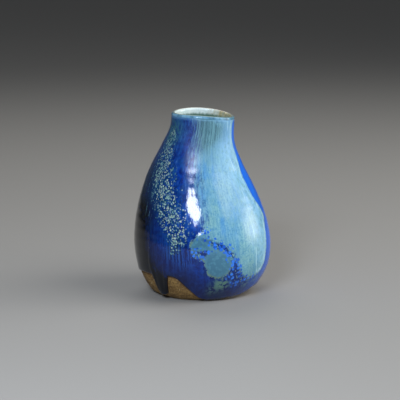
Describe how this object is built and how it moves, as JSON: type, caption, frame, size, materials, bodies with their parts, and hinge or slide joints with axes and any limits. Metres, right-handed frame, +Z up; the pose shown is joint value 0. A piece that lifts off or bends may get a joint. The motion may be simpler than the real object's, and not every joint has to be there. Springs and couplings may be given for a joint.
{
  "type": "bud vase",
  "caption": "Small pear-shaped stoneware bud vase with a narrow neck, an outer glaze that stops short of the foot, a second glaze poured over it and a pale glaze inside.",
  "frame": {"origin": "on the surface the vase stands on, under the middle of its belly", "axes": "+Z up through the mouth, -Y the front, where the turquoise pour is, +X the side towards which the rim falls"},
  "size_m": [0.0684, 0.0686, 0.0907],
  "materials": {
    "stoneware": "bare fired clay, matt",
    "cobalt_glaze": "glossy",
    "turquoise_glaze": "glossy",
    "celadon_glaze": "glossy"
  },
  "bodies": {
    "root": {"clay_body": "stoneware", "cobalt_glaze_coat": "cobalt_glaze", "turquoise_glaze_pour": "turquoise_glaze", "liner_glaze": "celadon_glaze"}
  },
  "joints": []
}
